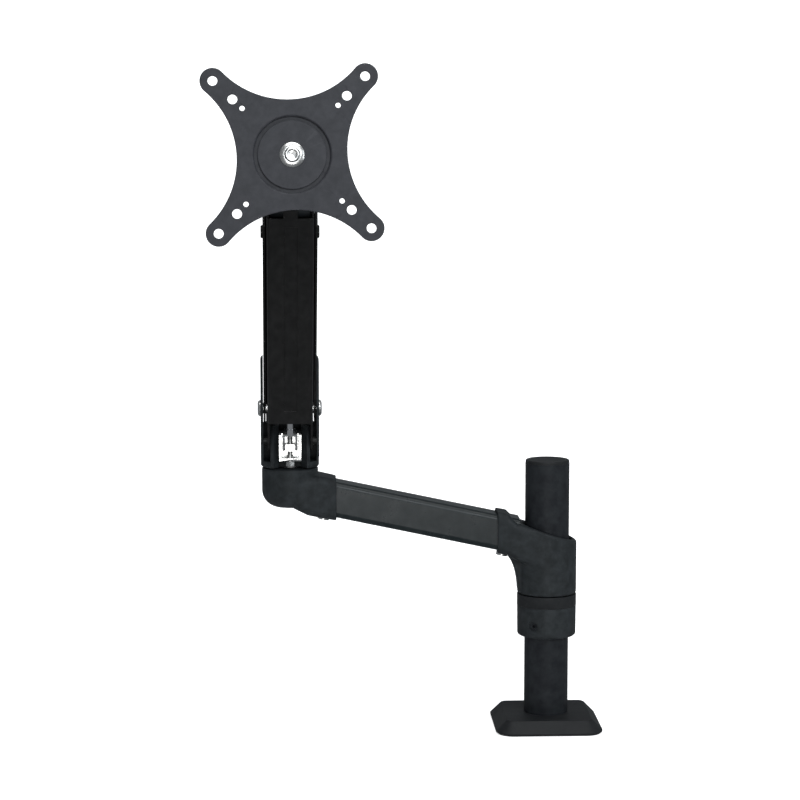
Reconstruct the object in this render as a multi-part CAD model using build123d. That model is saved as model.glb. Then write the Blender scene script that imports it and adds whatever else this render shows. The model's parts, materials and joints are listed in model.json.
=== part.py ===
from build123d import *
import os

# Desk-standing monitor arm: gas-spring upper arm, fixed-length lower arm, VESA plate.
# Millimetres, +Z up.  Origin: centre of the underside of the base, on the axis of the
# post.  The user sits on the -Y side.

# ---------------------------------------------------------------- base and post
BASE_SIDE = 78.2
BASE_H = 10.0
BASE_CORNER = 12.7
BASE_BEVEL = 7.8                # 45 degree slope all round the cover
BASE_TURN = 2.5                 # the base as posed, degrees about the post
PAD_T = 1.2
STEEL_SIDE = 62.0
STEEL_T = 3.6
DESK_THREAD_D = 8.5
POST_D = 32.4
POST_WALL = 2.5
POST_TOP = 195.9
CAP_T = 2.3

# ---------------------------------------------------------------- collar and hub
RUN = 0.06                      # radial clearance of a running fit
COLLAR_Z = (67.8, 90.2)
COLLAR_R = (21.5, 21.7)
RING_Z = (90.2, 98.9)
RING_R = 21.8
SET_SCREW_D = 5.0
SET_SCREW_SINK_D = 7.2
SET_SCREW_ANGLE = -120.0
SET_SCREW_Z = 77.0
HUB_Z = 99.4
HUB_R = 21.75
HUB_TOP_AT_AXIS = 145.6
HUB_TOP_ANGLE = 18.3
HUB_BUSH_R = 18.3
HUB_BUSH_LEN = 12.4
HUB_BUSH_UPPER_Z = 123.0
HUB_NECK = (29.6, 16.6)         # (along, half width) where the socket starts to widen
HUB_SHOULDER = (23.5, 17.8)
HUB_ROOT = (6.0, 21.2)
GUSSET_HALF = 9.5

# ---------------------------------------------------------------- lower arm
ELBOW_DIST = 188.6              # post axis to elbow axis
ARM_HEADING = 182.8             # direction of the lower arm, degrees from +X
TUBE_Z_AT_POST = 137.9
TUBE_RISE = 12.0                # degrees above horizontal
TUBE_SIDE = 25.8
TUBE_CORNER = 4.2
TUBE_WALL = 2.0
TUBE_SCREWS = (30.0, 161.0)     # distances of the tube's screws from the post axis
TUBE_SCREW_D = 5.0
SOCKET_SIDE = 30.0
SOCKET_CORNER = 5.6
HUB_RIM = 37.5
ELBOW_RIM = 155.0
ELBOW_R = 20.5
ELBOW_H = 29.6
ELBOW_BOTTOM_FILLET = 12.5
ELBOW_NECK = (167.0, 17.2)      # (along, half width) where the socket starts to widen
ELBOW_SHOULDER = (176.0, 18.6)
ELBOW_ROOT = (186.0, 20.0)
ELBOW_BUSH_R = 8.5
ELBOW_BUSH_FLOOR = -24.0
JOINT_Z = 194.5                 # plane between elbow and yoke

# ---------------------------------------------------------------- yoke
YOKE_YAW = 3.4                  # heading of the upper arm, degrees towards +X
YOKE_R = 21.2
YOKE_GAP = 0.6
EAR_INNER = 19.3
EAR_TOP = 81.0
BLOCK_TOP = 31.5
BLOCK_HALF = 14.3
WINDOW_HALF = 12.0
WINDOW_BACK = 6.3
SLOT_FLOOR = 5.0
SLOT_BACK = -6.8
SHAFT_D = 12.0

# ---------------------------------------------------------------- parallelogram
UPPER_PIVOT = (0.0, 42.7)       # (forward, up) from the elbow joint plane
LOWER_PIVOT = (10.0, 20.0)
LINK_LEN = 190.0
LINK_ANGLE = 64.0               # elevation of the upper arm as posed
SHEET = 1.5
UPPER_HALF = 19.0
UPPER_WEB = 12.0
UPPER_SKIRT = 15.0
LOWER_HALF = 16.15
LOWER_WEB = 12.0
LOWER_LIP = 1.0
BIG_PIN_D = 8.0
SMALL_PIN_D = 6.0

# ---------------------------------------------------------------- spring and its adjuster
SCREW_F = 12.0
NUT_UP = 15.5
SCREW_D = 4.0
SPRING_PIN_ALONG = 150.0
SPRING_PIN_BELOW = 7.0
SPRING_LEN = 169.94
SPRING_ANGLE = 69.33
ROD_D = 6.0
CYL_D = 15.0
SPRING_PIN_D = 5.0

# ---------------------------------------------------------------- head and plate
HEAD_HALF = 13.4
PAN_TURN = 0.9                  # the screen as posed, degrees towards +X of the arm
PAN_F = 28.7                    # pan axis, forward of the upper head pivot
TILT_F = 55.5
TILT_UP = 12.9
PLATE_TILT = 8.0
PLATE_ROLL = -1.86
FACE_OUT = 18.2                 # tilt axis to plate face
PLATE_T = 2.5
VESA = (100.0, 75.0, 62.85)
VESA_HOLE_D = (6.5, 6.5, 3.6)
TIP_R = 8.5
WAIST = 36.3
DISH_R = 25.2
DISC_R = 22.7

POST_FRAME = Rot(0, 0, ARM_HEADING)
TUBE_FRAME = POST_FRAME * Pos(0, 0, TUBE_Z_AT_POST) * Rot(0, -TUBE_RISE, 0)
ELBOW_FRAME = POST_FRAME * Pos(ELBOW_DIST, 0, JOINT_Z) * Rot(0, 0, YOKE_YAW - ARM_HEADING)
UPPER_FRAME = ELBOW_FRAME * Pos(0, -UPPER_PIVOT[0], UPPER_PIVOT[1]) * Rot(-LINK_ANGLE, 0, 0)
LOWER_FRAME = ELBOW_FRAME * Pos(0, -LOWER_PIVOT[0], LOWER_PIVOT[1]) * Rot(-LINK_ANGLE, 0, 0)
HEAD_FRAME = UPPER_FRAME * Pos(0, -LINK_LEN, 0) * Rot(LINK_ANGLE, 0, 0)
SPRING_FRAME = ELBOW_FRAME * Pos(0, -SCREW_F, NUT_UP) * Rot(-SPRING_ANGLE, 0, 0)
PAN_FRAME = HEAD_FRAME * Pos(0, -PAN_F, 0) * Rot(0, 0, PAN_TURN) * Pos(0, PAN_F, 0)
TILT_FRAME = PAN_FRAME * Pos(0, -TILT_F, TILT_UP) * Rot(-PLATE_TILT, 0, 0)
PLATE_FRAME = TILT_FRAME * Rot(0, PLATE_ROLL, 0)


# ---------------------------------------------------------------- small helpers
def upright(radius, z0, z1):
    """Cylinder on the local Z axis from z0 to z1."""
    return Pos(0, 0, (z0 + z1) / 2) * Cylinder(radius, z1 - z0)


def across(radius, v0, v1):
    """Cylinder on the local X (sideways) axis from v0 to v1."""
    return Pos((v0 + v1) / 2, 0, 0) * Rot(0, 90, 0) * Cylinder(radius, v1 - v0)


def outward(radius, n0, n1):
    """Cylinder on the local -Y (outward) axis from n0 to n1."""
    return Pos(0, -(n0 + n1) / 2, 0) * Rot(90, 0, 0) * Cylinder(radius, n1 - n0)


def block(v0, v1, f0, f1, z0, z1):
    """Box given sideways, forward and upward limits; forward is local -Y."""
    box = Box(v1 - v0, f1 - f0, z1 - z0)
    return Pos((v0 + v1) / 2, -(f0 + f1) / 2, (z0 + z1) / 2) * box


def side_plate(sketch, v0, v1):
    """Extrude a (forward, up) sketch sideways from v0 to v1."""
    plane = Plane(origin=(v1, 0, 0), x_dir=(0, -1, 0), z_dir=(-1, 0, 0))
    return extrude(plane * sketch, v1 - v0)


def outline(*points):
    """Straight-sided face through the points, always facing up."""
    turns = zip(points, points[1:] + points[:1])
    if sum(a[0] * b[1] - b[0] * a[1] for a, b in turns) < 0:
        points = points[::-1]
    return Polygon(*points, align=None)


def at(f, z):
    """Location of a (forward, up) point."""
    return Pos(0, -f, z)


def both_sides(solid):
    """A solid and its mirror image across the centre plane."""
    return solid + mirror(solid, Plane.YZ)


def tube_prism(side, corner, t0, t1):
    """Rounded square prism along the local X axis."""
    sketch = Plane.YZ * RectangleRounded(side, side, corner)
    return Pos(t0, 0, 0) * extrude(sketch, t1 - t0)


# ---------------------------------------------------------------- base group
def base_pad():
    sheet = extrude(RectangleRounded(BASE_SIDE - 3, BASE_SIDE - 3, BASE_CORNER - 1.5), PAD_T)
    return Rot(0, 0, BASE_TURN) * (sheet - upright(DESK_THREAD_D / 2, -1, PAD_T + 1))


def base_plate():
    sheet = Pos(0, 0, PAD_T) * extrude(RectangleRounded(STEEL_SIDE, STEEL_SIDE, 8), STEEL_T)
    return Rot(0, 0, BASE_TURN) * (sheet - upright(DESK_THREAD_D / 2, 0, 10))


def base_cover():
    body = extrude(RectangleRounded(BASE_SIDE, BASE_SIDE, BASE_CORNER), BASE_H - PAD_T)
    body = chamfer(body.faces().sort_by(Axis.Z)[-1].edges(), BASE_BEVEL)
    body = fillet(body.faces().sort_by(Axis.Z)[-1].edges(), 1.2)
    body = Pos(0, 0, PAD_T) * body
    body -= Pos(0, 0, PAD_T - 1) * extrude(
        RectangleRounded(STEEL_SIDE + 0.4, STEEL_SIDE + 0.4, 8.2), STEEL_T + 1.1)
    return Rot(0, 0, BASE_TURN) * (body - upright(POST_D / 2 + 0.1, 0, 20))


def post_tube():
    z0 = PAD_T + STEEL_T
    bore = upright(POST_D / 2 - POST_WALL, z0 - 1, POST_TOP + 1)
    return upright(POST_D / 2, z0, POST_TOP) - bore


def post_anchor():
    z0 = PAD_T + STEEL_T
    plug = upright(POST_D / 2 - POST_WALL, z0, z0 + 22)
    plug = chamfer(plug.faces().sort_by(Axis.Z)[-1].edges(), 1.5)
    return plug - upright(DESK_THREAD_D / 2, z0 - 1, z0 + 23)


def post_cap():
    lid = upright(POST_D / 2 - 0.15, POST_TOP, POST_TOP + CAP_T)
    lid = fillet(lid.faces().sort_by(Axis.Z)[-1].edges(), 0.9)
    stem = upright(POST_D / 2 - POST_WALL, POST_TOP - 9, POST_TOP)
    stem -= upright(POST_D / 2 - POST_WALL - 1.8, POST_TOP - 10, POST_TOP - 2)
    return lid + stem


# ---------------------------------------------------------------- collar group
def collar():
    z0, z1 = COLLAR_Z
    body = Pos(0, 0, (z0 + z1) / 2) * Cone(COLLAR_R[0], COLLAR_R[1], z1 - z0)
    body = fillet(body.faces().sort_by(Axis.Z)[0].edges(), 2.2)
    body -= upright(POST_D / 2 + RUN, z0 - 1, z1 + 1)
    drill = Pos(0, 0, SET_SCREW_Z) * Rot(0, 0, SET_SCREW_ANGLE + 90) * outward(SET_SCREW_D / 2, 14, 24)
    sink = Pos(0, 0, SET_SCREW_Z) * Rot(0, 0, SET_SCREW_ANGLE + 90) * outward(SET_SCREW_SINK_D / 2, 20.1, 24)
    return body - drill - sink


def collar_set_screw():
    screw = outward(SET_SCREW_D / 2, 16.4, 20.2) - outward(1.3, 18.4, 21)
    return Pos(0, 0, SET_SCREW_Z) * Rot(0, 0, SET_SCREW_ANGLE + 90) * screw


def bearing_ring():
    z0, z1 = RING_Z
    ring = upright(RING_R, z0, z1)
    ring = fillet(ring.faces().sort_by(Axis.Z)[-1].edges(), 0.5)
    return ring - upright(POST_D / 2 + RUN, z0 - 1, z1 + 1)


# ---------------------------------------------------------------- lower arm
def hub_bush(z0, z1):
    return upright(HUB_BUSH_R, z0, z1) - upright(POST_D / 2 + RUN, z0 - 1, z1 + 1)


def hub_bush_lower():
    return hub_bush(HUB_Z + 0.6, HUB_Z + 0.6 + HUB_BUSH_LEN)


def hub_bush_upper():
    return hub_bush(HUB_BUSH_UPPER_Z, HUB_BUSH_UPPER_Z + HUB_BUSH_LEN)


def tube_at(along):
    """Distance along the tube axis for a horizontal distance from the post."""
    return along / cos_deg(TUBE_RISE)


def cos_deg(angle):
    return Vector(1, 0, 0).rotate(Axis.Z, angle).X


def sin_deg(angle):
    return Vector(1, 0, 0).rotate(Axis.Z, angle).Y


def section(along, half_width, z0, z1, corner):
    """Upright rounded rectangle that stands across the lower arm."""
    plane = Plane(origin=(along, 0, (z0 + z1) / 2), x_dir=(0, 1, 0), z_dir=(1, 0, 0))
    return plane * RectangleRounded(2 * half_width, z1 - z0, corner)


def socket_line(along, offset):
    """Height of a line parallel to the tube, offset square to it."""
    return TUBE_Z_AT_POST + (along * sin_deg(TUBE_RISE) + offset) / cos_deg(TUBE_RISE)


def hub_gusset():
    with BuildSketch(Plane.XZ) as profile:
        with BuildLine():
            Polyline((36.6, 131.0), (36.6, 136.0), (12.0, 136.0), (12.0, 101.2), (21.4, 101.2))
            Spline((21.4, 101.2), (23.6, 116.0), (27.2, 124.4), (31.0, 129.4), (36.6, 131.0))
        make_face()
    return extrude(profile.sketch, GUSSET_HALF, both=True)


def hub_socket():
    """Socket that widens and drops to meet the barrel."""
    half = SOCKET_SIDE / 2
    rim = section(HUB_RIM, half, socket_line(HUB_RIM, -half), socket_line(HUB_RIM, half),
                  SOCKET_CORNER)
    neck = section(*HUB_NECK, socket_line(HUB_NECK[0], -half), socket_line(HUB_NECK[0], half),
                   SOCKET_CORNER)
    shoulder = section(*HUB_SHOULDER, 125.4, 153.3, 5.0)
    root = section(*HUB_ROOT, 120.0, 147.5, 5.0)
    return loft([rim, neck, shoulder, root], ruled=True)


def hub_casting():
    """Barrel round the post that flows into the socket of the lower arm."""
    barrel = upright(HUB_R, HUB_Z, HUB_TOP_AT_AXIS + 14)
    knife = Pos(0, 0, HUB_TOP_AT_AXIS + 30) * Box(120, 120, 60)
    slope = Pos(0, 0, HUB_TOP_AT_AXIS) * Rot(0, -HUB_TOP_ANGLE, 0) * Pos(0, 0, -HUB_TOP_AT_AXIS)
    barrel -= slope * knife
    barrel = fillet(barrel.faces().sort_by(Axis.Z)[-1].edges(), 1.6)
    barrel = chamfer(barrel.faces().sort_by(Axis.Z)[0].edges(), 0.8)
    body = POST_FRAME * (barrel + hub_socket() + hub_gusset())
    body -= POST_FRAME * upright(HUB_BUSH_R, HUB_Z + 0.6, 200)
    body -= POST_FRAME * upright(POST_D / 2 + 0.4, HUB_Z - 1, 200)
    return body - TUBE_FRAME * tube_prism(TUBE_SIDE + 0.1, TUBE_CORNER, tube_at(23.0), 60)


def lower_tube():
    t0, t1 = tube_at(23.4), tube_at(171.6)
    outer = tube_prism(TUBE_SIDE, TUBE_CORNER, t0, t1)
    inner = tube_prism(TUBE_SIDE - 2 * TUBE_WALL, TUBE_CORNER - TUBE_WALL, t0 - 1, t1 + 1)
    body = outer - inner
    for along in TUBE_SCREWS:
        body -= Pos(tube_at(along), 0, -TUBE_SIDE / 2) * Cylinder(TUBE_SCREW_D / 2, 8)
    return TUBE_FRAME * body


def tube_screw(along):
    head = upright(4.2, -TUBE_SIDE / 2 - 4.4, -TUBE_SIDE / 2 - 2.2)
    head -= upright(1.5, -TUBE_SIDE / 2 - 5, -TUBE_SIDE / 2 - 3.2)
    shank = upright(2.45, -TUBE_SIDE / 2 - 2.2, -TUBE_SIDE / 2 + 3.5)
    return TUBE_FRAME * Pos(tube_at(along), 0, 0) * (head + shank)


def tube_screw_hub():
    return tube_screw(TUBE_SCREWS[0])


def tube_screw_elbow():
    return tube_screw(TUBE_SCREWS[1])


def elbow_socket():
    """Socket that widens towards the barrel, its underside rising into the barrel's."""
    half = SOCKET_SIDE / 2
    floor = JOINT_Z - ELBOW_H
    rim = section(ELBOW_RIM, half, socket_line(ELBOW_RIM, -half), socket_line(ELBOW_RIM, half),
                  SOCKET_CORNER)
    neck = section(*ELBOW_NECK, socket_line(ELBOW_NECK[0], -half),
                   socket_line(ELBOW_NECK[0], half), SOCKET_CORNER)
    shoulder = section(*ELBOW_SHOULDER, socket_line(ELBOW_SHOULDER[0], -half), JOINT_Z - 5.6, 7.0)
    root = section(*ELBOW_ROOT, floor, JOINT_Z - 5.0, 9.0)
    return loft([rim, neck, shoulder, root], ruled=True)


def elbow_casting():
    barrel = upright(ELBOW_R, -ELBOW_H, -0.3)
    barrel = fillet(barrel.faces().sort_by(Axis.Z)[0].edges(), ELBOW_BOTTOM_FILLET)
    barrel = fillet(barrel.faces().sort_by(Axis.Z)[-1].edges(), 0.8)
    body = POST_FRAME * (Pos(ELBOW_DIST, 0, JOINT_Z) * barrel + elbow_socket())
    body -= TUBE_FRAME * tube_prism(TUBE_SIDE + 0.1, TUBE_CORNER, 140, tube_at(172.0))
    body -= POST_FRAME * Pos(ELBOW_DIST, 0, JOINT_Z) * upright(ELBOW_BUSH_R, ELBOW_BUSH_FLOOR, 1)
    return body


def elbow_bush():
    bush = upright(ELBOW_BUSH_R, ELBOW_BUSH_FLOOR, -0.3) - upright(SHAFT_D / 2 + RUN, ELBOW_BUSH_FLOOR + 1, 1)
    return POST_FRAME * Pos(ELBOW_DIST, 0, JOINT_Z) * bush


def hub_casting_drilled():
    return hub_casting() - tube_screw_bore(TUBE_SCREWS[0])


def elbow_casting_drilled():
    return elbow_casting() - tube_screw_bore(TUBE_SCREWS[1])


def tube_screw_bore(along):
    bore = upright(TUBE_SCREW_D / 2, -TUBE_SIDE / 2 - 6, -TUBE_SIDE / 2 + 1)
    bore += upright(4.6, -TUBE_SIDE / 2 - 7, -TUBE_SIDE / 2 - 2.2 + 0.2)
    return TUBE_FRAME * Pos(tube_at(along), 0, 0) * bore


# ---------------------------------------------------------------- yoke group
def yoke():
    cup = upright(YOKE_R, YOKE_GAP, BLOCK_TOP)
    cup = chamfer(cup.faces().sort_by(Axis.Z)[0].edges(), 0.7)
    profile = outline((-13, YOKE_GAP + 8), (-15, 30), (-13.5, EAR_TOP), (11.5, EAR_TOP), (13.5, 30),
                      (13, YOKE_GAP + 8))
    profile = fillet(profile.vertices().group_by(Axis.Y)[-1], 7)
    ears = side_plate(profile, -YOKE_R, YOKE_R)
    top_edges = ears.edges().filter_by(GeomType.LINE).filter_by(Axis.Y).group_by(Axis.Z)[-1]
    ears = fillet(top_edges, 2.6)
    ears -= block(-EAR_INNER, EAR_INNER, -30, 30, 0, 90)
    body = cup + ears
    for sign in (-1, 1):
        v0, v1 = sorted((sign * BLOCK_HALF, sign * EAR_INNER))
        body -= block(v0, v1, SLOT_BACK, 30, SLOT_FLOOR, 90)
    body += both_sides(block(10.0, 17.2, -13.0, -9.5, BLOCK_TOP - 2, 40.0))
    body -= block(-8.1, 8.1, WINDOW_BACK, 30, -1, 90)
    flare = outline((8.0, -10.5), (WINDOW_HALF, -15.0), (WINDOW_HALF, -30), (-WINDOW_HALF, -30),
                    (-WINDOW_HALF, -15.0), (-8.0, -10.5))
    body -= Pos(0, 0, -1) * extrude(flare, 60)
    body -= block(-8.1, 8.1, -12, 30, BLOCK_TOP - 6, 90)
    body -= at(*UPPER_PIVOT) * across(BIG_PIN_D / 2, -30, 30)
    for sign in (-1, 1):
        v0, v1 = sorted((sign * 10.0, sign * 30.0))
        body -= at(*LOWER_PIVOT) * across(SMALL_PIN_D / 2, v0, v1)
    body -= upright(SHAFT_D / 2, -1, 18)
    return ELBOW_FRAME * body


def yoke_shaft():
    shaft = upright(SHAFT_D / 2, -22.6, 18)
    shaft = chamfer(shaft.faces().sort_by(Axis.Z)[0].edges(), 1.0)
    return ELBOW_FRAME * shaft


def pivot_bolt(sign):
    head = across(5.9, YOKE_R, YOKE_R + 2.2)
    head = fillet(head.faces().sort_by(Axis.X)[-1].edges(), 1.2)
    head -= across(2.0, YOKE_R + 0.8, YOKE_R + 3)
    bolt = head + across(BIG_PIN_D / 2, 15.2, YOKE_R)
    if sign < 0:
        bolt = mirror(bolt, Plane.YZ)
    return ELBOW_FRAME * at(*UPPER_PIVOT) * bolt


def pivot_bolt_left():
    return pivot_bolt(-1)


def pivot_bolt_right():
    return pivot_bolt(1)


def lower_pin(sign):
    v0, v1 = sorted((sign * 11.0, sign * 20.0))
    return ELBOW_FRAME * at(*LOWER_PIVOT) * across(SMALL_PIN_D / 2, v0, v1)


def lower_pin_left():
    return lower_pin(-1)


def lower_pin_right():
    return lower_pin(1)


def spring_bracket():
    cheeks = both_sides(block(6.4, 8.0, WINDOW_BACK + 0.1, 17.6, 7.9, 25.3))
    cheeks -= both_sides(block(5.0, 9.0, 15.6, 19.0, 7.0, 12.0))
    back = block(-8.0, 8.0, WINDOW_BACK + 0.1, WINDOW_BACK + 1.3, 5.9, 25.3)
    foot = block(-8.0, 8.0, WINDOW_BACK + 0.1, 16.2, 5.9, 7.9) - at(SCREW_F, 0) * upright(3.9, 5, 9)
    return ELBOW_FRAME * (cheeks + back + foot)


# ---------------------------------------------------------------- adjuster
def adjust_screw():
    hexagon = Pos(0, 0, 1.3) * extrude(RegularPolygon(2.9, 6), 4.2)
    washers = upright(3.3, 1.3, 2.4) + upright(3.3, 5.5, 8.6)
    body = hexagon + washers + upright(SCREW_D / 2, 8.6, 23.4)
    return ELBOW_FRAME * at(SCREW_F, 0) * body


def trunnion_nut():
    body = block(-3.5, 3.5, -3.0, 3.0, -2.6, 2.4) + across(2.2, -5.2, 5.2)
    body = body - upright(SCREW_D / 2 + RUN, -9, 9)
    return ELBOW_FRAME * at(SCREW_F, NUT_UP) * body


def spring_clevis():
    """Inverted U hooked on the trunnion nut; forward of the local frame is along the spring."""
    profile = Pos(5, 0) * RectangleRounded(14.2, 6.4, 2.2)
    legs = both_sides(side_plate(profile, 3.8, 5.3))
    bar = block(-5.3, 5.3, 10.4, 12.1, -3.2, 3.2)
    body = legs + bar - across(2.2 + RUN, -9, 9)
    return SPRING_FRAME * (body - outward(2.2, 8, 14))


def spring_rod():
    hexagon = Rot(90, 0, 0) * extrude(RegularPolygon(4.2, 6), 3.6)
    nut = Pos(0, -12.1, 0) * hexagon
    body = outward(2.2, 10.4, 13) + nut + outward(ROD_D / 2, 14, 100)
    return SPRING_FRAME * body


def spring_cylinder():
    body = outward(CYL_D / 2, 62, 158.0)
    body = chamfer(body.edges().filter_by(GeomType.CIRCLE), 0.8)
    body -= outward(5.5, 66, 152)
    body -= outward(ROD_D / 2 + RUN, 60, 70)
    eye = Pos(0, -SPRING_LEN, 0) * across(6.5, -5, 5)
    neck = block(-5, 5, 157, SPRING_LEN, -5, 5)
    body = body + eye + neck
    body -= Pos(0, -SPRING_LEN, 0) * across(SPRING_PIN_D / 2, -9, 9)
    return SPRING_FRAME * body


def spring_pin():
    return SPRING_FRAME * Pos(0, -SPRING_LEN, 0) * across(SPRING_PIN_D / 2, -14.2, 14.2)


# ---------------------------------------------------------------- links
def channel(half, a0, a1, web, lip, corner):
    """Folded sheet along -Y: web at height web, flanges reaching to height lip."""
    z0, z1 = sorted((web, lip))
    body = block(-half, half, a0, a1, z0, z1)
    long_edges = body.edges().filter_by(Axis.Y)
    outer = [e for e in long_edges if abs(e.center().Z - web) < 0.01]
    body = fillet(outer, corner)
    step = SHEET if web < lip else -SHEET
    c0, c1 = sorted((web + step, lip + step))
    hollow = block(-half + SHEET, half - SHEET, a0 - 1, a1 + 1, c0, c1)
    return body - hollow


def lower_channel():
    a0 = 22.2
    body = channel(LOWER_HALF, a0, 188.7, -LOWER_WEB, LOWER_LIP, 2.4)
    body -= block(-4.3, 4.7, 33, 182, -LOWER_WEB - 1, -LOWER_WEB + 0.4)
    body += block(-5, 5, 186, 195, -LOWER_WEB, -LOWER_WEB + SHEET)
    near = Circle(7.5) + outline((0, -7.5), (a0 + 4, -LOWER_WEB + 2.4), (a0 + 4, LOWER_LIP),
                                 (4, 6.3), (0, 7.5))
    far = Pos(LINK_LEN, 0) * Circle(8.0)
    far += outline((180, -LOWER_WEB + 2.4), (LINK_LEN, -8.0), (LINK_LEN, 8.0), (180, LOWER_LIP))
    body += both_sides(side_plate(near + far, LOWER_HALF - SHEET, LOWER_HALF))
    body -= across(SMALL_PIN_D / 2 + RUN, -30, 30)
    body -= Pos(0, -LINK_LEN, 0) * across(SMALL_PIN_D / 2 + RUN, -30, 30)
    return LOWER_FRAME * body


def upper_channel():
    body = channel(UPPER_HALF, -7, 166, UPPER_WEB, -8.0, 3.0)
    skirt = outline((28, -7), (40, -UPPER_SKIRT), (158, -UPPER_SKIRT), (172, -7))
    near = Circle(9.0) + outline((0, -9), (6, -8), (6, 9), (0, 9))
    far = Pos(LINK_LEN, 0) * Circle(9.5)
    far += outline((160, -8), (LINK_LEN, -9.5), (LINK_LEN, 9.5), (164, 9.0), (160, 9.0))
    body += both_sides(side_plate(skirt + near + far, UPPER_HALF - SHEET, UPPER_HALF))
    body -= across(BIG_PIN_D / 2 + RUN, -30, 30)
    body -= Pos(0, -LINK_LEN, 0) * across(BIG_PIN_D / 2 + RUN, -30, 30)
    body -= Pos(0, -SPRING_PIN_ALONG, -SPRING_PIN_BELOW) * across(SPRING_PIN_D / 2, -30, 30)
    return UPPER_FRAME * body


def spring_stud(sign):
    head = across(4.5, UPPER_HALF, UPPER_HALF + 1.4)
    head = fillet(head.faces().sort_by(Axis.X)[-1].edges(), 0.7)
    stud = head + across(SPRING_PIN_D / 2, UPPER_HALF - SHEET, UPPER_HALF)
    if sign < 0:
        stud = mirror(stud, Plane.YZ)
    return UPPER_FRAME * Pos(0, -SPRING_PIN_ALONG, -SPRING_PIN_BELOW) * stud


def spring_stud_left():
    return spring_stud(-1)


def spring_stud_right():
    return spring_stud(1)


# ---------------------------------------------------------------- head group
def head_bracket():
    lower = (LOWER_PIVOT[0] - UPPER_PIVOT[0], LOWER_PIVOT[1] - UPPER_PIVOT[1])
    profile = outline((-7.5, -3), (-5, 10), (8, 26), (PAN_F, 26), (PAN_F, 0), (15.4, 0),
                      (14.8, -20), (10, -29), (4.2, -26))
    profile += Circle(8.0)
    profile += Pos(*lower) * Circle(6.5)
    body = side_plate(profile, -HEAD_HALF, HEAD_HALF)
    body -= block(-30, 30, PAN_F - 3, PAN_F + 20, -40, 60)
    body += at(PAN_F, 0) * upright(11.5, -1.5, 27.5)
    body -= at(PAN_F, 0) * upright(4.0 + RUN, -20, 60)
    body -= across(BIG_PIN_D / 2, -30, 30)
    body -= at(*lower) * across(SMALL_PIN_D / 2, -30, 30)
    return HEAD_FRAME * body


def head_bolt(sign):
    head = across(6.0, UPPER_HALF + 0.4, UPPER_HALF + 3.0)
    head = fillet(head.faces().sort_by(Axis.X)[-1].edges(), 1.2)
    head -= across(2.0, UPPER_HALF + 1.4, UPPER_HALF + 4)
    bolt = head + across(BIG_PIN_D / 2, 4.0, UPPER_HALF + 0.4)
    if sign < 0:
        bolt = mirror(bolt, Plane.YZ)
    return HEAD_FRAME * bolt


def head_bolt_left():
    return head_bolt(-1)


def head_bolt_right():
    return head_bolt(1)


def head_pin():
    lower = (LOWER_PIVOT[0] - UPPER_PIVOT[0], LOWER_PIVOT[1] - UPPER_PIVOT[1])
    return HEAD_FRAME * at(*lower) * across(SMALL_PIN_D / 2, -16.7, 16.7)


def pan_block():
    web0, web1 = PAN_F + 14.3, PAN_F + 18.2
    body = block(-12, 12, web0, web1, -7.0, 32.9)
    for z0, z1 in ((-7.0, -1.9), (27.9, 32.9)):
        lug = at(PAN_F, 0) * upright(12, z0, z1) + block(-12, 12, PAN_F, web1, z0, z1)
        body += lug
    tongue = Pos(TILT_F, TILT_UP) * Circle(8.5)
    tongue += Pos((web1 - 1 + TILT_F) / 2, TILT_UP) * Rectangle(TILT_F - web1 + 1, 17)
    body += side_plate(tongue, -7.5, 7.5)
    body -= at(TILT_F, TILT_UP) * across(3.0 + RUN, -20, 20)
    body -= at(PAN_F, 0) * upright(4.0, -20, 60)
    return PAN_FRAME * body


def pan_pin():
    cap = upright(6.5, 32.9, 35.2)
    cap = fillet(cap.faces().sort_by(Axis.Z)[-1].edges(), 1.0)
    return PAN_FRAME * at(PAN_F, 0) * (cap + upright(4.0, -7.0, 32.9))


def tilt_block():
    cheek = Circle(8.6) + Pos(5.5, 0) * Rectangle(11, 17.2)
    body = both_sides(side_plate(cheek, 7.9, 12.0))
    body += block(-12, 12, 9.4, 12.0, -8.6, 8.6)
    body += outward(11.5, 11.5, 13.8)
    body -= across(3.0, -20, 20)
    body -= outward(4.0, 9, 20)
    return TILT_FRAME * body


def tilt_bolt():
    head = across(5.2, 12.0, 14.6)
    head = fillet(head.faces().sort_by(Axis.X)[-1].edges(), 1.0)
    head -= across(2.0, 13.0, 15)
    return TILT_FRAME * (head + across(3.0, -15.5, 12.0))


def tilt_nut():
    ring = Plane.YZ * RegularPolygon(5.7, 6)
    return TILT_FRAME * (Pos(-15.0, 0, 0) * extrude(ring, 3.0) - across(3.0, -20, -11))


def plate_outline():
    radius = (2500.0 + (50.0 - WAIST) ** 2 - TIP_R ** 2) / (2 * (50.0 - WAIST + TIP_R))
    centre = WAIST + radius
    share = TIP_R / (radius + TIP_R)
    near = 50.0 - 50.0 * share
    far = 50.0 + (centre - 50.0) * share
    shape = outline((near, far), (far, near), (far, -near), (near, -far), (-near, -far),
                      (-far, -near), (-far, near), (-near, far))
    for angle in range(0, 360, 90):
        shape -= Rot(0, 0, angle) * Pos(0, centre) * Circle(radius)
    for angle in range(0, 360, 90):
        shape += Rot(0, 0, angle) * Pos(50, 50) * Circle(TIP_R)
    return shape


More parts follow.
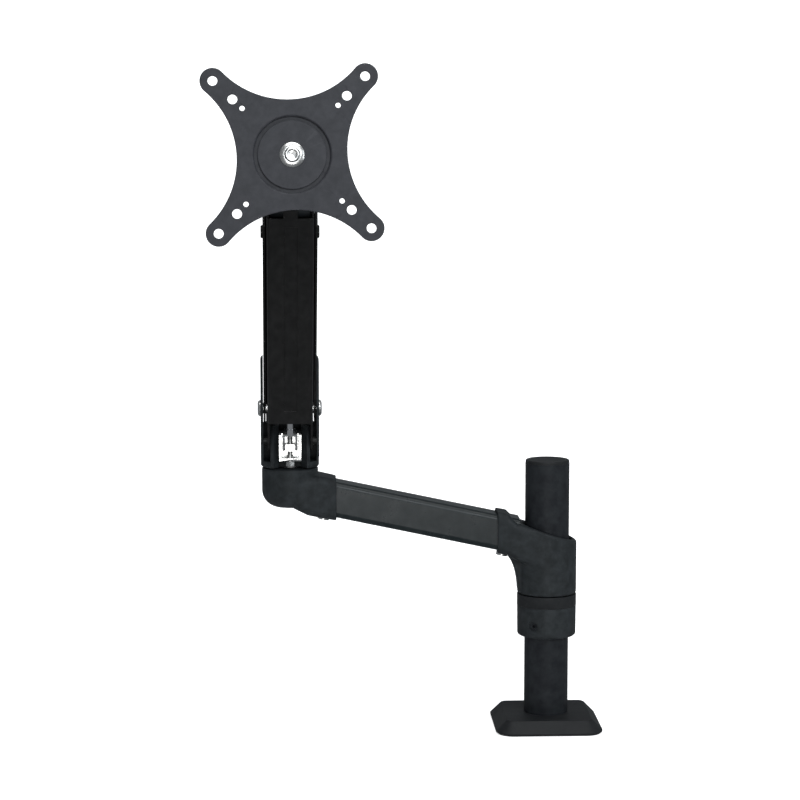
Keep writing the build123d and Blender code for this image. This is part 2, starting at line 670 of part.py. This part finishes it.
def vesa_plate():
    face = Plane(origin=(0, -(FACE_OUT - PLATE_T), 0), x_dir=(1, 0, 0), z_dir=(0, -1, 0))
    body = extrude(face * plate_outline(), PLATE_T)
    body += outward(DISH_R + 2.6, FACE_OUT - 3.8, FACE_OUT - PLATE_T)
    body = body - outward(DISH_R, FACE_OUT - 2.3, FACE_OUT + 1)
    rim = [e for e in body.edges().filter_by(GeomType.CIRCLE)
           if abs(e.radius - DISH_R) < 0.01 and e.center().Y < -FACE_OUT + 0.01]
    body = fillet(rim, 1.3)
    for pitch, hole in zip(VESA, VESA_HOLE_D):
        for sx in (-1, 1):
            for sz in (-1, 1):
                body -= Pos(sx * pitch / 2, 0, sz * pitch / 2) * outward(hole / 2, 5, 25)
    body -= outward(4.0 + RUN, 5, 25)
    return PLATE_FRAME * body


def plate_disc():
    disc = outward(DISC_R, FACE_OUT - 2.3, FACE_OUT - 0.9)
    edge = [e for e in disc.edges().filter_by(GeomType.CIRCLE) if e.center().Y < -FACE_OUT + 1.0]
    disc = fillet(edge, 0.5)
    return PLATE_FRAME * (disc - outward(4.0 + RUN, 5, 25))


def plate_bolt():
    head = outward(8.25, FACE_OUT - 0.5, FACE_OUT + 0.5) + outward(6.0, FACE_OUT + 0.4, FACE_OUT + 1.8)
    head = head - Pos(0, -(FACE_OUT + 0.2), 0) * Rot(90, 0, 0) * extrude(RegularPolygon(3.0, 6), 4)
    return TILT_FRAME * (head + outward(4.0, 9.4, FACE_OUT - 0.5))


PARTS = {
    "base_pad": base_pad,
    "base_plate": base_plate,
    "base_cover": base_cover,
    "post_tube": post_tube,
    "post_anchor": post_anchor,
    "post_cap": post_cap,
    "collar": collar,
    "collar_set_screw": collar_set_screw,
    "bearing_ring": bearing_ring,
    "hub_casting": hub_casting_drilled,
    "hub_bush_lower": hub_bush_lower,
    "hub_bush_upper": hub_bush_upper,
    "lower_tube": lower_tube,
    "tube_screw_hub": tube_screw_hub,
    "tube_screw_elbow": tube_screw_elbow,
    "elbow_casting": elbow_casting_drilled,
    "elbow_bush": elbow_bush,
    "yoke": yoke,
    "yoke_shaft": yoke_shaft,
    "pivot_bolt_left": pivot_bolt_left,
    "pivot_bolt_right": pivot_bolt_right,
    "lower_pin_left": lower_pin_left,
    "lower_pin_right": lower_pin_right,
    "spring_bracket": spring_bracket,
    "adjust_screw": adjust_screw,
    "trunnion_nut": trunnion_nut,
    "spring_clevis": spring_clevis,
    "spring_rod": spring_rod,
    "spring_cylinder": spring_cylinder,
    "spring_pin": spring_pin,
    "lower_channel": lower_channel,
    "upper_channel": upper_channel,
    "spring_stud_left": spring_stud_left,
    "spring_stud_right": spring_stud_right,
    "head_bracket": head_bracket,
    "head_bolt_left": head_bolt_left,
    "head_bolt_right": head_bolt_right,
    "head_pin": head_pin,
    "pan_block": pan_block,
    "pan_pin": pan_pin,
    "tilt_block": tilt_block,
    "tilt_bolt": tilt_bolt,
    "tilt_nut": tilt_nut,
    "vesa_plate": vesa_plate,
    "plate_disc": plate_disc,
    "plate_bolt": plate_bolt,
}

os.makedirs("parts", exist_ok=True)
for name, make in PARTS.items():
    solid = make()
    export_step(solid, "parts/" + name + ".step")
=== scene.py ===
import json
import math

import bpy
import bmesh
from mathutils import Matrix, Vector


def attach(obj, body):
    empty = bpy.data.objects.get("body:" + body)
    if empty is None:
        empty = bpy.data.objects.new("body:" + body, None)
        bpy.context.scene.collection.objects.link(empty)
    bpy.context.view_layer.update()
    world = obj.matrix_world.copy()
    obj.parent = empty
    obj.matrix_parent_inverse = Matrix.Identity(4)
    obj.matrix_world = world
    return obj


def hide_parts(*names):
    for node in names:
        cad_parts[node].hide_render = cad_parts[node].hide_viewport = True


# Visual model of a desk monitor arm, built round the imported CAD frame.  Everything is in
# metres in the frame of the CAD model.  Parts whose CAD shape is already right keep it and
# get a finish; castings are rounded, and the small hardware is rebuilt with threads,
# sockets and flanges.
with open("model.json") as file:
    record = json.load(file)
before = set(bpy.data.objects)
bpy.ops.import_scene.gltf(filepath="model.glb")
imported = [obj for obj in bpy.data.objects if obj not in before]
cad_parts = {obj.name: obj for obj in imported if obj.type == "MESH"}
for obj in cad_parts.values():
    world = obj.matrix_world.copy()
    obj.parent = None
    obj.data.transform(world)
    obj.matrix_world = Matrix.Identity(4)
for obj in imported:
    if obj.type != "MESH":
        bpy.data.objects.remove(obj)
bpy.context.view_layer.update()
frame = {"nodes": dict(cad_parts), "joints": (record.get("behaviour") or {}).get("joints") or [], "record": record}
NODES = frame["nodes"]
JOINTS = {joint["name"]: joint for joint in frame["joints"]}
MM = 0.001


# ------------------------------------------------------------------ places from the frame
def joint_axis(name):
    """Direction of a joint's axis."""
    return Vector(JOINTS[name]["axis"]).normalized()


UP = Vector((0, 0, 1))
LEFT = joint_axis("arm_lift")
RIGHT = -LEFT
FACE_NORMAL = joint_axis("plate_turn")


# ------------------------------------------------------------------ materials
def shader(name, colour, roughness, metallic=0.0, specular=0.5):
    """New material; returns it with its node tree and Principled shader."""
    material = bpy.data.materials.new(name)
    material.use_nodes = True
    tree = material.node_tree
    surface = tree.nodes["Principled BSDF"]
    surface.inputs["Base Color"].default_value = (*colour, 1.0)
    surface.inputs["Roughness"].default_value = roughness
    surface.inputs["Metallic"].default_value = metallic
    surface.inputs["Specular IOR Level"].default_value = specular
    material.diffuse_color = (*colour, 1.0)
    return material, tree, surface


def noise_node(tree, scale, detail=3.0, roughness=0.5, stretch=None):
    """Noise on object coordinates; stretch squeezes it along an axis."""
    place = tree.nodes.new("ShaderNodeTexCoord")
    source = place.outputs["Object"]
    if stretch:
        mapping = tree.nodes.new("ShaderNodeMapping")
        mapping.inputs["Scale"].default_value = stretch
        tree.links.new(source, mapping.inputs["Vector"])
        source = mapping.outputs["Vector"]
    node = tree.nodes.new("ShaderNodeTexNoise")
    node.inputs["Scale"].default_value = scale
    node.inputs["Detail"].default_value = detail
    node.inputs["Roughness"].default_value = roughness
    tree.links.new(source, node.inputs["Vector"])
    return node.outputs["Fac"]


def remap(tree, source, low, high, start=0.3, end=0.7):
    """Map a noise value's middle range to low..high."""
    node = tree.nodes.new("ShaderNodeMapRange")
    node.inputs["From Min"].default_value = start
    node.inputs["From Max"].default_value = end
    node.inputs["To Min"].default_value = low
    node.inputs["To Max"].default_value = high
    tree.links.new(source, node.inputs["Value"])
    return node.outputs["Result"]


def bump(tree, source, strength, distance, below=None):
    """Bump from a height; below is a bump that it lies on."""
    node = tree.nodes.new("ShaderNodeBump")
    node.inputs["Strength"].default_value = strength
    node.inputs["Distance"].default_value = distance
    tree.links.new(source, node.inputs["Height"])
    if below is not None:
        tree.links.new(below, node.inputs["Normal"])
    return node.outputs["Normal"]


def tint(tree, source, dark, light, start=0.35, end=0.65):
    """Colour that runs from dark to light with a noise value."""
    ramp = tree.nodes.new("ShaderNodeValToRGB")
    ramp.color_ramp.elements[0].position = start
    ramp.color_ramp.elements[0].color = (*dark, 1.0)
    ramp.color_ramp.elements[1].position = end
    ramp.color_ramp.elements[1].color = (*light, 1.0)
    tree.links.new(source, ramp.inputs["Fac"])
    return ramp.outputs["Color"]


def coated_metal(name, dark, light, roughness, grain, depth, specular=0.5):
    """Powder coat: orange peel, fine grain and slightly uneven gloss."""
    material, tree, surface = shader(name, light, roughness, specular=specular)
    mottled = noise_node(tree, 160.0, 4.0, 0.6)
    tree.links.new(tint(tree, mottled, dark, light), surface.inputs["Base Color"])
    gloss = noise_node(tree, 60.0, 5.0, 0.65)
    spread = remap(tree, gloss, roughness - 0.05, roughness + 0.06)
    tree.links.new(spread, surface.inputs["Roughness"])
    peel = bump(tree, noise_node(tree, grain, 2.0), 0.35, depth)
    fine = bump(tree, noise_node(tree, grain * 3.1, 2.0), 0.3, depth * 0.4, below=peel)
    tree.links.new(fine, surface.inputs["Normal"])
    return material


def moulded_plastic(name, dark, light, roughness, grain=2600.0):
    """Fine spark-eroded mould texture."""
    material, tree, surface = shader(name, light, roughness, specular=0.15)
    mottled = noise_node(tree, 90.0, 4.0, 0.6)
    tree.links.new(tint(tree, mottled, dark, light), surface.inputs["Base Color"])
    gloss = noise_node(tree, 45.0, 4.0, 0.6)
    spread = remap(tree, gloss, roughness - 0.05, roughness + 0.08)
    tree.links.new(spread, surface.inputs["Roughness"])
    texture = bump(tree, noise_node(tree, grain, 3.0, 0.7), 0.45, 0.00006)
    tree.links.new(texture, surface.inputs["Normal"])
    return material


def plated_steel(name, dark, light, roughness):
    """Bright zinc: cloudy tone, faint machining marks."""
    material, tree, surface = shader(name, light, roughness, metallic=1.0)
    clouds = noise_node(tree, 420.0, 5.0, 0.7)
    tree.links.new(tint(tree, clouds, dark, light, 0.25, 0.7), surface.inputs["Base Color"])
    gloss = noise_node(tree, 900.0, 4.0, 0.6)
    spread = remap(tree, gloss, roughness - 0.1, roughness + 0.12)
    tree.links.new(spread, surface.inputs["Roughness"])
    marks = bump(tree, noise_node(tree, 3000.0, 2.0, 0.6, (1.0, 1.0, 0.15)), 0.25, 0.00003)
    tree.links.new(marks, surface.inputs["Normal"])
    return material


def polished_steel(name):
    """Ground piston rod."""
    material, tree, surface = shader(name, (0.72, 0.72, 0.73), 0.12, metallic=1.0)
    marks = noise_node(tree, 1800.0, 3.0, 0.6, (1.0, 1.0, 0.1))
    tree.links.new(remap(tree, marks, 0.08, 0.2), surface.inputs["Roughness"])
    return material


def foam_rubber(name):
    """Dull rubber pad."""
    material, tree, surface = shader(name, (0.018, 0.018, 0.018), 0.85, specular=0.3)
    cells = bump(tree, noise_node(tree, 1800.0, 4.0, 0.7), 0.6, 0.0001)
    tree.links.new(cells, surface.inputs["Normal"])
    return material


MATERIALS = {
    "casting_black": coated_metal("casting_black", (0.011, 0.013, 0.014), (0.018, 0.021, 0.023),
                                  0.5, 1500.0, 0.00008, 0.1),
    "channel_black": coated_metal("channel_black", (0.0055, 0.0055, 0.0055), (0.009, 0.009, 0.009),
                                  0.36, 1300.0, 0.00006, 0.16),
    "tube_black": coated_metal("tube_black", (0.006, 0.009, 0.010), (0.010, 0.0135, 0.0145),
                               0.3, 900.0, 0.00003, 0.22),
    "post_black": coated_metal("post_black", (0.009, 0.010, 0.012), (0.014, 0.016, 0.018),
                               0.45, 1200.0, 0.00005, 0.08),
    "plate_black": coated_metal("plate_black", (0.022, 0.023, 0.027), (0.030, 0.031, 0.036),
                                0.5, 1400.0, 0.00006, 0.2),
    "cylinder_black": coated_metal("cylinder_black", (0.006, 0.006, 0.007), (0.009, 0.009, 0.010),
                                   0.25, 700.0, 0.00002, 0.3),
    "black_plastic": moulded_plastic("black_plastic", (0.008, 0.009, 0.010),
                                     (0.012, 0.013, 0.014), 0.5),
    "acetal": moulded_plastic("acetal", (0.010, 0.011, 0.012), (0.014, 0.015, 0.016),
                              0.45, 900.0),
    "rubber_pad": foam_rubber("rubber_pad"),
    "zinc": plated_steel("zinc", (0.50, 0.50, 0.48), (0.78, 0.78, 0.77), 0.28),
    "chrome_rod": polished_steel("chrome_rod"),
}


# ------------------------------------------------------------------ finish on the CAD nodes
SLOTS = {entry["node"]: entry["material_slot"] for entry in frame["record"]["subparts"]}
BODIES = {node: body for body, nodes in frame["record"]["behaviour"]["bodies"].items()
          for node in nodes}
HEXAGON = 6
SKIN_VOXEL = 0.0006             # fine enough to keep the castings' rims
SKIN_PASSES = 9
THREAD_R = 1.95 * MM
THREAD_DEPTH = 0.32 * MM
THREAD_PITCH = 0.7 * MM
THREAD_START = 7.5 * MM         # end of the thread, above the foot of the tension screw


def finish_node(node):
    """Give a CAD node its procedural finish."""
    obj = NODES[node]
    obj.data.materials.clear()
    obj.data.materials.append(MATERIALS[SLOTS[node]])


def soften_edges(node, width):
    """Round the sharp edges of a CAD node a little, as paint and folding do."""
    weld = NODES[node].modifiers.new("weld", "WELD")
    weld.merge_threshold = 0.000002
    bevel = NODES[node].modifiers.new("bevel", "BEVEL")
    bevel.width = width
    bevel.segments = 2
    bevel.limit_method = "ANGLE"
    bevel.angle_limit = math.radians(50)
    bevel.harden_normals = True


# ------------------------------------------------------------------ mesh helpers
def new_piece(name, mesh, node, smooth_angle=35.0):
    """Finished piece that stands for a CAD node, on the same body and with the same finish."""
    for polygon in mesh.polygons:
        polygon.use_smooth = True
    mesh.set_sharp_from_angle(angle=math.radians(smooth_angle))
    piece = bpy.data.objects.new(name, mesh)
    bpy.context.scene.collection.objects.link(piece)
    piece.data.materials.clear()
    piece.data.materials.append(MATERIALS[SLOTS[node]])
    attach(piece, BODIES[node])
    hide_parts(node)
    return piece


def span_along(node, axis):
    """Lowest and highest reach of a node along an axis, and a point on its middle line."""
    points = [v.co for v in NODES[node].data.vertices]
    reach = [p.dot(axis) for p in points]
    low, high = min(reach), max(reach)
    side = axis.orthogonal().normalized()
    other = axis.cross(side)
    centre = Vector((0, 0, 0))
    for direction in (side, other):
        values = [p.dot(direction) for p in points]
        centre += direction * (min(values) + max(values)) / 2
    return low, high, centre


def turned(name, profile, start, axis, node, sides=64):
    """Piece of revolution from rows of (radius, distance, flats); 0 flats is round."""
    side = axis.orthogonal().normalized()
    other = axis.cross(side)
    mesh = bpy.data.meshes.new(name)
    builder = bmesh.new()
    rings = []
    for radius, distance, flats in profile:
        ring = []
        for i in range(sides):
            angle = 2 * math.pi * i / sides
            reach = radius
            if flats:
                part = 2 * math.pi / flats
                reach = radius / math.cos((angle + part / 2) % part - part / 2)
            outwards = side * math.cos(angle) + other * math.sin(angle)
            point = start + axis * distance + outwards * reach
            ring.append(builder.verts.new(point))
        rings.append(ring)
    for lower, upper in zip(rings, rings[1:]):
        for i in range(sides):
            j = (i + 1) % sides
            builder.faces.new((lower[i], lower[j], upper[j], upper[i]))
    builder.faces.new(rings[0][::-1])
    builder.faces.new(rings[-1])
    bmesh.ops.recalc_face_normals(builder, faces=builder.faces)
    builder.to_mesh(mesh)
    builder.free()
    return new_piece(name, mesh, node)


def screw(node, axis, head_r, head_h, shank_r, hex_r, name):
    """Button-head screw with a hexagon socket; axis points out of the head."""
    low, high, centre = span_along(node, axis)
    length = high - low
    base = length - head_h
    profile = [(shank_r - 0.4 * MM, 0, 0), (shank_r, 0.4 * MM, 0), (shank_r, base, 0),
               (head_r - 0.15 * MM, base, 0), (head_r, base + 0.2 * MM, 0)]
    for step in range(1, 8):
        angle = math.radians(78 * step / 7)
        profile.append((hex_r * 1.5 + (head_r - hex_r * 1.5) * math.cos(angle) ** 0.8,
                        base + 0.2 * MM + (head_h - 0.25 * MM) * math.sin(angle), 0))
    profile += [(hex_r * 1.25, length - 0.05 * MM, 0), (hex_r, length - 0.2 * MM, HEXAGON),
                (hex_r, length - 0.75 * head_h, HEXAGON), (hex_r * 0.3, length - 0.9 * head_h, 0)]
    return turned(name, profile, centre + axis * low, axis, node)


def cast_skin(node, name, voxel, passes):
    """Casting with every edge and junction rounded."""
    source = bpy.data.objects.new(name + "_source", NODES[node].data.copy())
    bpy.context.scene.collection.objects.link(source)
    remesh = source.modifiers.new("remesh", "REMESH")
    remesh.mode = "VOXEL"
    remesh.voxel_size = voxel
    smooth = source.modifiers.new("smooth", "SMOOTH")
    smooth.factor = 0.6
    smooth.iterations = passes
    view = bpy.context.evaluated_depsgraph_get()
    mesh = bpy.data.meshes.new_from_object(source.evaluated_get(view))
    mesh.name = name
    bpy.data.objects.remove(source)
    return new_piece(name, mesh, node, 60.0)


# ------------------------------------------------------------------ plate: bolt
def make_plate_bolt():
    """Flanged bolt with a stepped conical head and a hexagon socket."""
    low, high, centre = span_along("plate_bolt", FACE_NORMAL)
    top = high - low
    shank = ((3.6, 0.0), (4.0, 0.4))
    flange = ((4.0, 3.1), (8.1, 3.1), (8.25, 2.9), (8.25, 2.5), (8.1, 2.3))
    cone = ((5.6, 1.15), (5.3, 1.2), (5.1, 1.05), (4.9, 0.5), (4.6, 0.2), (4.2, 0.0),
            (3.5, 0.0), (3.1, 0.25))
    socket = ((2.7, 0.45, HEXAGON), (2.7, 2.6, HEXAGON), (0.6, 3.0, 0))
    profile = [(radius * MM, height * MM, 0) for radius, height in shank]
    profile += [(radius * MM, top - below * MM, 0) for radius, below in flange + cone]
    profile += [(radius * MM, top - below * MM, flats) for radius, below, flats in socket]
    turned("plate_bolt_head", profile, centre + FACE_NORMAL * low, FACE_NORMAL, "plate_bolt", 96)


# ------------------------------------------------------------------ tension screw
def make_tension_screw():
    """Hexagon, collar and fine thread on one upright axis."""
    low, high, centre = span_along("adjust_screw", UP)
    start = centre + UP * low
    length = high - low
    mesh = bpy.data.meshes.new("tension_screw_body")
    builder = bmesh.new()
    sides, per_turn = 36, 8
    rows = [(1.7, 0.0, HEXAGON), (2.55, 0.25, HEXAGON), (2.9, 0.6, HEXAGON), (2.9, 3.9, HEXAGON),
            (2.5, 4.2, HEXAGON), (2.5, 4.3, 0), (3.3, 4.3, 0), (3.3, 7.1, 0), (3.0, 7.3, 0),
            (1.95, 7.3, 0)]
    rings = [(radius * MM, height * MM, flats, False) for radius, height, flats in rows]
    for step in range(int((length - THREAD_START) / THREAD_PITCH * per_turn)):
        rings.append((THREAD_R, THREAD_START + step * THREAD_PITCH / per_turn, 0, True))
    rings.append((THREAD_R - 0.65 * MM, length, 0, False))
    made = []
    for radius, height, flats, thread in rings:
        row = []
        for i in range(sides):
            angle = 2 * math.pi * i / sides
            reach = radius
            if flats:
                part = 2 * math.pi / flats
                reach = radius / math.cos((angle + part / 2) % part - part / 2)
            if thread:
                phase = (height / THREAD_PITCH - angle / (2 * math.pi)) % 1.0
                reach -= THREAD_DEPTH * abs(2 * phase - 1)
            point = start + UP * height + Vector((math.cos(angle), math.sin(angle), 0)) * reach
            row.append(builder.verts.new(point))
        made.append(row)
    for lower, upper in zip(made, made[1:]):
        for i in range(sides):
            j = (i + 1) % sides
            builder.faces.new((lower[i], lower[j], upper[j], upper[i]))
    builder.faces.new(made[0][::-1])
    builder.faces.new(made[-1])
    bmesh.ops.recalc_face_normals(builder, faces=builder.faces)
    builder.to_mesh(mesh)
    builder.free()
    new_piece("tension_screw_body", mesh, "adjust_screw")


for node in NODES:
    finish_node(node)

for node, width in (("vesa_plate", 0.00035), ("plate_disc", 0.0004), ("lower_channel", 0.0003),
                    ("upper_channel", 0.0003), ("yoke", 0.0004), ("head_bracket", 0.0004),
                    ("pan_block", 0.0005), ("tilt_block", 0.0004), ("spring_clevis", 0.0002),
                    ("spring_bracket", 0.0002), ("trunnion_nut", 0.0003), ("collar", 0.0003),
                    ("bearing_ring", 0.0003)):
    soften_edges(node, width)

cast_skin("hub_casting", "hub_skin", SKIN_VOXEL, SKIN_PASSES)
cast_skin("elbow_casting", "elbow_skin", SKIN_VOXEL, SKIN_PASSES)
make_plate_bolt()
make_tension_screw()
for place, head_r, head_h in (("pivot", 5.9 * MM, 2.2 * MM), ("head", 6.0 * MM, 2.6 * MM)):
    for side, axis in (("left", LEFT), ("right", RIGHT)):
        screw(place + "_bolt_" + side, axis, head_r, head_h, 4.0 * MM, 2.0 * MM,
              place + "_screw_" + side)


# ------------------------------------------------------------------ stage
def make_floor():
    """Pale floor that curves up into a backdrop, overexposed as on a light table."""
    mesh = bpy.data.meshes.new("floor")
    builder = bmesh.new()
    rows = [(-0.75, 0.0)]
    bend, start = 0.9, 0.7
    for step in range(13):
        angle = math.radians(90.0 * step / 12)
        rows.append((start + bend * math.sin(angle), bend * (1 - math.cos(angle))))
    rows.append((start + bend, 2.4))
    for x in (-2.2, 2.2):
        for y, z in rows:
            builder.verts.new((x, y, z))
    builder.verts.ensure_lookup_table()
    count = len(rows)
    for i in range(count - 1):
        corners = (i, count + i, count + i + 1, i + 1)
        face = builder.faces.new([builder.verts[c] for c in corners])
        face.smooth = True
    builder.to_mesh(mesh)
    builder.free()
    floor = bpy.data.objects.new("floor", mesh)
    bpy.context.scene.collection.objects.link(floor)
    material, tree, surface = shader("floor_white", (0.9, 0.9, 0.9), 0.95, specular=0.1)
    surface.inputs["Emission Color"].default_value = (1.0, 1.0, 1.0, 1.0)
    surface.inputs["Emission Strength"].default_value = 0.62
    mesh.materials.append(material)
    floor.visible_glossy = False


def softbox(name, place, target, size, power, colour=(1.0, 1.0, 1.0)):
    """Rectangular area light aimed at a point."""
    data = bpy.data.lights.new(name, "AREA")
    data.shape = "RECTANGLE"
    data.size, data.size_y = size
    data.energy = power
    data.color = colour
    light = bpy.data.objects.new(name, data)
    light.location = place
    light.rotation_euler = (Vector(target) - Vector(place)).to_track_quat("-Z", "Y").to_euler()
    bpy.context.scene.collection.objects.link(light)


def make_lights():
    """Soft lights above, to the right of and below the camera in a dim room."""
    world = bpy.data.worlds.new("studio")
    bpy.context.scene.world = world
    world.use_nodes = True
    background = world.node_tree.nodes["Background"]
    background.inputs["Color"].default_value = (0.9, 0.95, 1.0, 1.0)
    background.inputs["Strength"].default_value = 0.22
    middle = (-0.1, 0.0, 0.2)
    softbox("key", (0.5, -2.3, 1.6), middle, (1.5, 1.0), 38.0, (0.93, 0.97, 1.0))
    softbox("side", (1.8, -0.9, 0.7), middle, (0.5, 1.4), 8.0, (0.9, 0.95, 1.0))
    softbox("top", (0.0, -0.5, 2.0), middle, (1.8, 1.0), 20.0)
    softbox("low", (-0.05, -2.5, 0.02), middle, (1.0, 0.5), 11.0)


def make_camera():
    """Long lens, slightly above the arm, looking a little down."""
    data = bpy.data.cameras.new("camera")
    data.sensor_width = 36.0
    data.lens = 108.0
    camera = bpy.data.objects.new("camera", data)
    camera.location = (-0.10583, -1.74233, 0.45057)
    camera.rotation_euler = (math.radians(90.0 - 6.828), 0.0, math.radians(0.0754))
    bpy.context.scene.collection.objects.link(camera)
    bpy.context.scene.camera = camera


make_floor()
make_lights()
make_camera()
bpy.context.scene.view_settings.view_transform = "Standard"
